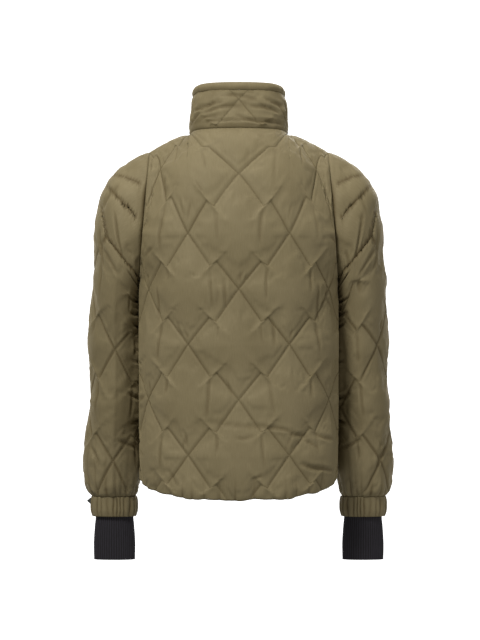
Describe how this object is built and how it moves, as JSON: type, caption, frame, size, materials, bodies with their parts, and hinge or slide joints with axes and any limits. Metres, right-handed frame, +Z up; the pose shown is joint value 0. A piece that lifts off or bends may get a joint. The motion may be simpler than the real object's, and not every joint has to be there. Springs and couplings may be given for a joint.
{
  "type": "quilted jacket",
  "caption": "Padded jacket with diamond quilting, stand collar, elastic cuffs and stretch wristlets, filled out as when worn, its front zip closed and its pull tab free to swing.",
  "frame": {"origin": "middle of the neck opening, level with the neck seam at the middle of the back, where the shoulders carry the jacket", "axes": "+Z up along the back to the collar, +Y to the front, so the back faces -Y, and +X to the wearer's right"},
  "size_m": [0.5855, 0.314, 0.8935],
  "materials": {
    "shell": "satin",
    "stretch": "matte",
    "tab": "matte",
    "zip_tape": "matte",
    "zip_teeth": "matte",
    "zip_metal": "satin"
  },
  "bodies": {
    "jacket": {"back": "shell", "front_left": "shell", "front_right": "shell", "sleeve_left": "shell", "sleeve_right": "shell", "collar": "shell", "collar_band": "shell", "cuff_left": "shell", "cuff_right": "shell", "wristlet_left": "stretch", "wristlet_right": "stretch", "cuff_tab": "tab", "zip_tape_left": "zip_tape", "zip_tape_right": "zip_tape", "zip_chain": "zip_teeth", "zip_slider": "zip_metal"},
    "pull_tab": {"zip_pull": "zip_metal"}
  },
  "joints": [
    {"name": "pull_tab_swing", "type": "hinge", "parent": "jacket", "child": "pull_tab", "pos_m": [0, 0.08529, 0.02917], "axis": [1, 0, 0], "range_deg": [0, 160]}
  ]
}
